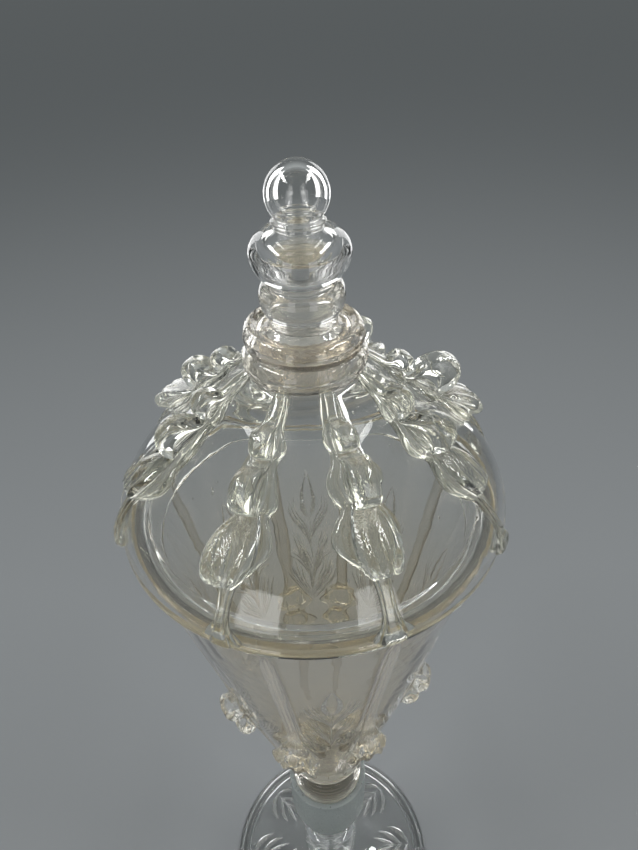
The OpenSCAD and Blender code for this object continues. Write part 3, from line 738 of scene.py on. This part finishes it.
# Turn and slip of each thread's fans from their even places, their size, and how far they split into lobes
fan_turn = np.radians([-4, 3, 0, 2, -5, 0, 1, 3.5])
fan_slip = [-9, -3, 4, 5, 5, 2, 1, -1]
fan_size = [1.35, 0.85, 1, 1.1, 1.1, 1, 0.85, 1.4]
fan_split = [1, 0.2, 1, 1, 1, 1, 0.2, 1]
for k in range(thread_count):
    rng = np.random.default_rng(40 + k)
    rows = np.array(bowl_stations)
    place = rows[:, 0]
    rows[:, 3:5] *= np.where((place > 88) & (place < 117), fan_size[k], 1)[:, None]
    slip = fan_slip[k] * np.clip((place - 8) / 80, 0, 1) * np.clip((158 - place) / 34, 0, 1)
    rows[:, :2] += slip[:, None]
    thread = pinched_thread(f"bowl_thread_{k + 1}", bowl_wall_run, bowl_azimuths[k] + fan_turn[k], rows,
                            fan_split[k] * np.array(bowl_lobes), fan_air + [fan_slip[k], 0, 0, 0, 0], rng,
                            comb_depth=0.2 * mm * fan_split[k])
    settle(thread, f"bowl_trail_{k + 1}", "goblet", fanned_glass)
    fan_ends = np.array([87, 120]) * mm + fan_slip[k] * mm
    fans_high, fans_low = np.interp(fan_ends, bowl_wall_run[0], bowl_wall_run[1][:, 1])
    part_finish(thread, streaked_glass, lambda r, z: (z > fans_high) | (z < fans_low))

# Lid dome
# A blown dome of clear glass, cracked off and fire-polished at the rim, which overhangs the bowl's mouth.
# Its top is flattened to take the collar.
dome_low, dome_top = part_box("lid_dome")[0].z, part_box("lid_dome")[1].z
lid_r, dome_top_r, dome_wall = 60 * mm, 16.5 * mm, 2.6 * mm
dome_controls = np.array([[dome_top_r, dome_top], [dome_top_r + 27.7 * mm, dome_top - 26.3 * mm],
                          [lid_r + 2 * mm, dome_low + 17.5 * mm], [lid_r, dome_low]])
dome_shares = bezier_shares(160)
dome_outer = dome_shares @ dome_controls
dome_run = wall_run(dome_outer)
dome_inner = dome_outer - dome_wall * dome_run[1][:, 2:]
cap_end = int(np.argmin(abs(dome_inner[:, 0] - 26 * mm)))
cap_slope = dome_inner[cap_end + 1] - dome_inner[cap_end]
cap_slope /= np.hypot(*cap_slope)
cap_z = dome_top - 3.6 * mm
cap_controls = np.array([[0, cap_z], [10 * mm, cap_z], dome_inner[cap_end] - 9 * mm * cap_slope,
                         dome_inner[cap_end]])
dome_line = np.concatenate([dome_shares[::4] @ cap_controls, dome_inner[cap_end + 1:], dome_outer[::-1],
                            [[0, dome_top]]])
dome_line[0, 0] = 0
dome_line = soft_outline(dome_line, 0.7, 0.9)
dome_glass = worked_glass("blown_dome_glass", (0.99, 0.995, 0.985), (0.975, 0.975, 0.955), 0.5, 0.012,
                          cord_scale=30, ripple_depth=0.05)
dome = glass_piece("lid_dome_blown", turned(dome_line, around=160, sway=0.002, seed=8),
                   wall_seeds(dome_run, dome_wall / 2, 70, 0.5, 20))
settle(dome, "lid_dome", "lid", dome_glass)

# Bezel
# A ring of glass inside the lid's rim: its flange, ground matte and straw brown, rests on the bowl's mouth,
# and its clear drop goes into the bowl and keeps the lid in the middle.
bezel_low, bezel_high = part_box("lid_bezel")[0].z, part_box("lid_bezel")[1].z
flange_r = lid_r - dome_wall + join
bezel_mouth_r = mouth_r - 3.6 * mm
bezel_low_r = bezel_mouth_r - 1.9 * mm
bezel_wall, flange_z = 2.2 * mm, seat_z + 0.05 * mm
bezel_line = np.array([[bezel_low_r - bezel_wall, bezel_low], [bezel_low_r, bezel_low],
                       [bezel_mouth_r, flange_z], [flange_r, flange_z],
                       [flange_r, bezel_high], [bezel_mouth_r - bezel_wall, bezel_high]])
bezel_line = soft_outline(bezel_line, 0.3, 0.5, closed=True)
flange_glass = worked_glass("ground_flange_glass", (0.95, 0.81, 0.52), (0.83, 0.64, 0.34), 0.4, 0.25,
                            cord_scale=75, passes=0.7)
bezel = glass_piece("lid_bezel_ring", turned(bezel_line, around=160, seed=9))
settle(bezel, "lid_bezel", "lid", clear_glass)
part_finish(bezel, flange_glass, lambda r, z: r > bezel_mouth_r + 3.2 * mm)

# Threads on the lid
# Eight threads of straw glass, trailed from under the collar down the dome to its rim.
# Each is pinched into a bud, a round upright paddle and a broad beak with a free tip, and ends in a thin rib.
# The wall that they lie on is the dome's, drawn out from its edge to the collar's foot.
draw_out = 2.4 * mm
dome_places, dome_track = dome_run
top_row = dome_track[0] + draw_out * np.array([-dome_track[0, 3], dome_track[0, 2], 0, 0])
thread_wall = np.concatenate([[-draw_out], dome_places]), np.concatenate([[top_row], dome_track])
# The same measures, in mm from the dome's edge
bud_run = [(-2, -2, 0.9, 1.6, 1.1, 0.4), (1.2, 1.2, 1.9, 2.3, 1.6, 0.7), (5, 5, 2.2, 2.6, 1.7, 0.8),
           (8, 7.6, 2.4, 2.8, 1.8, 0.9), (10, 8.6, 4.2, 3.6, 2.2, 1), (11, 9.6, 6.6, 4.4, 2.6, 1.1),
           (12, 13, 7.6, 4.8, 3, 1.1), (13, 16.4, 6.4, 4.8, 2.8, 1.1), (13.8, 17, 3.8, 4.6, 2.4, 1),
           (14.6, 15, 1.8, 4.2, 2.2, 1)]
knob_run = [(16.4, 16.2, 2, 4.2, 2.4, 1.1), (19.5, 17.6, 4.6, 5.2, 2.6, 1.2), (20.8, 18, 8.4, 6.2, 2.9, 1.3),
            (22, 21, 12, 6.8, 3.2, 1.4), (23.6, 25.6, 13.4, 7.2, 3.4, 1.4), (25.2, 30.2, 11.6, 7.2, 3.4, 1.4),
            (26.4, 32.4, 8, 7, 3.3, 1.3), (27.4, 31.6, 4.6, 6.6, 3, 1.2), (28.6, 29.2, 2.2, 6, 2.8, 1.2)]
beak_run = [(30.2, 30.4, 2.4, 5.4, 3.2, 1.3), (32.5, 33.5, 4.4, 6.8, 4.6, 1.5),
            (35.5, 38, 6.8, 7.8, 5.6, 1.6), (38.5, 42.8, 8.2, 7.8, 6, 1.5),
            (41, 47, 7.8, 6.8, 5.2, 1.3), (42.8, 48.8, 5.8, 5.6, 4.2, 1.1),
            (44.2, 47.6, 3.2, 4.6, 3.2, 1)]
rib_run = [(46, 46.4, 1.6, 2.4, 1.8, 0.7), (51, 51, 1.4, 1.8, 1.2, 0.6), (57, 57, 1.4, 1.8, 1.2, 0.6),
           (60.4, 60.4, 1.5, 2.6, 1.8, 0.7), (62.6, 62.8, 2, 5.2, 3.4, 0.9),
           (64.4, 64.8, 2.2, 5.8, 3.8, 0.9), (66.4, 66.4, 0.4, 2.4, 1.6, 0.3)]
lid_stations = bud_run + knob_run + beak_run + rib_run
lid_lobes = [0] * (len(bud_run) + len(knob_run)) + [0, 0.2, 0.35, 0.4, 0.25, 0.1, 0] + [0] * len(rib_run)
head_air = np.array([(25.5, -0.8, 7.6, 2.8, 0.45), (24.5, 1, 7.2, 2.2, 0.35), (39, -3, 4.8, 3.2, 0.5),
                     (41, 0.4, 5.4, 3.6, 0.55), (40, 3.2, 4.9, 3, 0.45), (43.5, -1.6, 5.2, 2, 0.35),
                     (43.5, 2, 5.2, 2, 0.3)])
# Turn of each thread from its even place, in degrees, and the sizes of its paddle and beak
lid_turn = [-1.6, -3, -2.5, 0, 0, -3.5, -2.5, 1.3]
paddle_size = [0.88, 0.85, 1, 0.9, 0.9, 0.74, 0.7, 0.85]
beak_size = [0.95, 0.68, 0.9, 1, 1, 0.9, 0.62, 0.95]
lid_azimuths = np.radians(-93 + 45 * (np.arange(thread_count) + 0.5) + lid_turn)
for k in range(thread_count):
    rng = np.random.default_rng(70 + k)
    slip = rng.uniform(-2.5, 2.5)
    rows, air = np.array(lid_stations), head_air.copy()
    place, thread_end = rows[:, 0], rows[-1, 0]
    shrink = np.select([place < 15, place < 29.5, place < 45], [1, paddle_size[k], beak_size[k]], 1)
    rows[:, 1] = place + shrink * (rows[:, 1] - place)
    rows[:, 2] *= shrink
    rows[:, :2] += (slip * np.sin(np.pi * place / thread_end))[:, None]
    air[:, 0] += slip * np.sin(np.pi * air[:, 0] / thread_end)
    thread = pinched_thread(f"lid_thread_{k + 1}", thread_wall, lid_azimuths[k], rows, lid_lobes, air, rng)
    settle(thread, f"lid_trail_{k + 1}", "lid", trailed_glass)

# Collar
# Two thick threads of straw glass wound one above the other round the top of the dome.
# They hide the joint between the dome and its finial, and the upper one is dished on top round the neck.
collar_end_r, collar_top_r = 15.2 * mm, 14.2 * mm
lower_r, upper_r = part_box("collar_lower_ring")[1].x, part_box("collar_upper_ring")[1].x
lower_line = wound(knop_line("collar_lower_ring", lower_r, collar_end_r, collar_end_r, 0.35, 0.6), 2.3, 0.05)


def blown_hollow(node, middle_r, low_r, high_r, floor, roof):
    """The air inside a blown piece: the outline swells as a knop's does, between a floor and a roof of glass.
    Its line runs downwards, so that its faces look into the air."""
    low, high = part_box(node)[0].z + floor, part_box(node)[1].z - roof
    swell = knop_swell(low, high, low_r, middle_r, high_r)
    hollow = soft_outline(np.concatenate([[[0, low]], swell, [[0, high]]]), 0.3, 0.3)
    return turned(hollow[::-1], sway=0.004)


collar_glass = worked_glass("wound_collar_glass", (0.985, 0.965, 0.925), (0.955, 0.905, 0.82), 0.7,
                            0.012, cord_scale=130, ripple_scale=560, ripple_depth=0.2, passes=0.97)
collar_lower = glass_piece("collar_lower_thread", turned(lower_line, sway=0.006, tilt=0.25 * mm, seed=10),
                           blown_hollow("collar_lower_ring", 14.2 * mm, 12 * mm, 12 * mm, 0.7 * mm, 0.7 * mm))
settle(collar_lower, "collar_lower_ring", "lid", collar_glass)
dish = np.array([[13.4, -0.5], [12.4, -1.4], [11.2, -1.3], [10, -0.4], [9, 0.15], [0, 0.15]]) * mm
dish += [0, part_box("collar_upper_ring")[1].z]
upper_line = knop_line("collar_upper_ring", upper_r, collar_end_r, collar_top_r, 0.3, 0.5, cap=dish)
upper_line = wound(upper_line, 2.1, 0.05)
upper_air = blown_hollow("collar_upper_ring", 13.2 * mm, 11.6 * mm, 9 * mm, 0.7 * mm, 2.2 * mm)
upper_shell = turned(upper_line, sway=0.006, tilt=0.25 * mm, seed=11)
collar_upper = glass_piece("collar_upper_thread", upper_shell, upper_air)
settle(collar_upper, "collar_upper_ring", "lid", collar_glass)

# Finial
# A short neck, a small knop, a wide flattened knop and a ball on a bead, stuck on one after the other.
# The ball is blown hollow, the wide knop holds a flat bubble, and the glass is seeded with small bubbles.
finial_glass = worked_glass("finial_glass", (0.985, 0.99, 0.985), (0.965, 0.96, 0.94), 0.12, 0.012)
# Pale straw, hazy finish: a painted reflection of the table and collar, seen through the wide knop
floor_painted_reflection = worked_glass("painted_reflection_floor_glass", (0.95, 0.90, 0.78), (0.86, 0.79, 0.62), 0.3, 0.15,
                           cord_scale=160, passes=0.8)
finial_neck_r, knop_end_r, ball_neck_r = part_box("finial_neck")[1].x, 8.6 * mm, 6 * mm
neck_low, neck_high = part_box("finial_neck")[0].z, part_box("finial_neck")[1].z
finial_neck_line = np.array([[0, neck_low], [finial_neck_r, neck_low],
                             [finial_neck_r, neck_high + join], [0, neck_high + join]])
finial_neck_line = soft_outline(finial_neck_line, 0.3, 0.3)
finial_neck = glass_piece("finial_neck_short", turned(finial_neck_line, seed=12))
settle(finial_neck, "finial_neck", "lid", finial_glass)

small_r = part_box("small_knop")[1].x
small_line = knop_line("small_knop", small_r, finial_neck_r, knop_end_r, 0.2, 0.4, neck=0.9 * mm)
small_knop = glass_piece("small_knop_round", turned(small_line, around=192, sway=0.004, seed=13),
                         wall_seeds(wall_run(small_line[::-1]), 1 * mm, 26, 0.3, 14))
settle(small_knop, "small_knop", "lid", finial_glass)

wide_r, wide_floor_r, wide_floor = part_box("wide_knop")[1].x, 7.6 * mm, 5.2 * mm
wide_line = knop_line("wide_knop", wide_r, knop_end_r, ball_neck_r, 0.2, 0.4, neck=0.8 * mm)
wide_knop = glass_piece("wide_knop_flattened", turned(wide_line, around=192, sway=0.004, seed=15),
                        blown_hollow("wide_knop", wide_r - 4.2 * mm, wide_floor_r, ball_neck_r - 1.6 * mm,
                                     wide_floor, 2.6 * mm),
                        wall_seeds(wall_run(wide_line[::-1]), 0.7 * mm, 30, 0.25, 16))
settle(wide_knop, "wide_knop", "lid", finial_glass)
eye_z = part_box("wide_knop")[0].z + wide_floor
# The flat bubble's floor takes the painted reflection of the table and collar
part_finish(wide_knop, floor_painted_reflection, lambda r, z: (abs(z - eye_z) < 0.25 * mm) & (r < wide_floor_r))

ball_low, ball_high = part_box("finial_ball")[0].z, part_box("finial_ball")[1].z
ball_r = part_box("finial_ball")[1].x
ball_z = ball_high - ball_r
ball_turn = np.linspace(np.arcsin(-np.sqrt(1 - (ball_neck_r / ball_r) ** 2)), np.pi / 2, 60)
ball_line = arc(0, ball_z, ball_turn, ball_r)
ball_line[-1, 0] = 0
ball_run = wall_run(ball_line[:6:-1])
bead = np.array([[0, 0], [0, 0.2], [0.7, 0.5], [0.9, 0.9], [0.6, 1.4], [0, 1.7]]) * mm
ball_line = np.concatenate([[[0, ball_low]], bead + [ball_neck_r, ball_low], ball_line])
ball_line = soft_outline(ball_line, 0.2, 0.3)
hollow_turn = np.linspace(np.pi / 2, -np.pi / 2, 60)
ball_hollow = arc(0, ball_z, hollow_turn, ball_r - 2.2 * mm)
ball_hollow[[0, -1], 0] = 0
finial_ball = glass_piece("finial_ball_round", turned(ball_line, around=192, seed=17),
                          turned(ball_hollow, around=192), wall_seeds(ball_run, 0.8 * mm, 16, 0.25, 18))
settle(finial_ball, "finial_ball", "lid", finial_glass)
